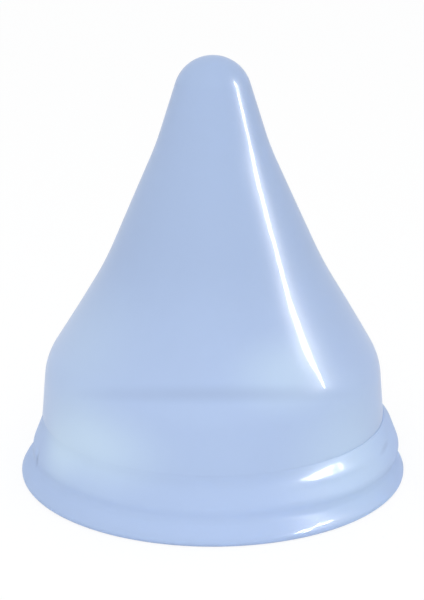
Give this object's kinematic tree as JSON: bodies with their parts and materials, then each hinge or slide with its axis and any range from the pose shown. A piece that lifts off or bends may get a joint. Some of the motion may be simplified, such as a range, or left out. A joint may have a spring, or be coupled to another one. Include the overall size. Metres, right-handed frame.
{
  "type": "canning funnel cone",
  "caption": "Closed, pointed translucent cone with a drafted collar and a soft flared skirt, open underneath and standing on its round rim.",
  "frame": {"origin": "centre of the rim's underside, on the cone's axis", "axes": "+Z along the cone's axis from the open wide end to the closed tip; +X to the right and +Y away when seen from the front"},
  "size_m": [0.086, 0.086, 0.094],
  "materials": {
    "tinted_plastic": "high gloss, pale blue tint, translucent",
    "soft_tinted_rubber": "gloss, soft and slightly wavy, same pale blue tint, translucent"
  },
  "bodies": {
    "root": {"cone_shell": "tinted_plastic", "skirt": "soft_tinted_rubber"}
  },
  "joints": []
}
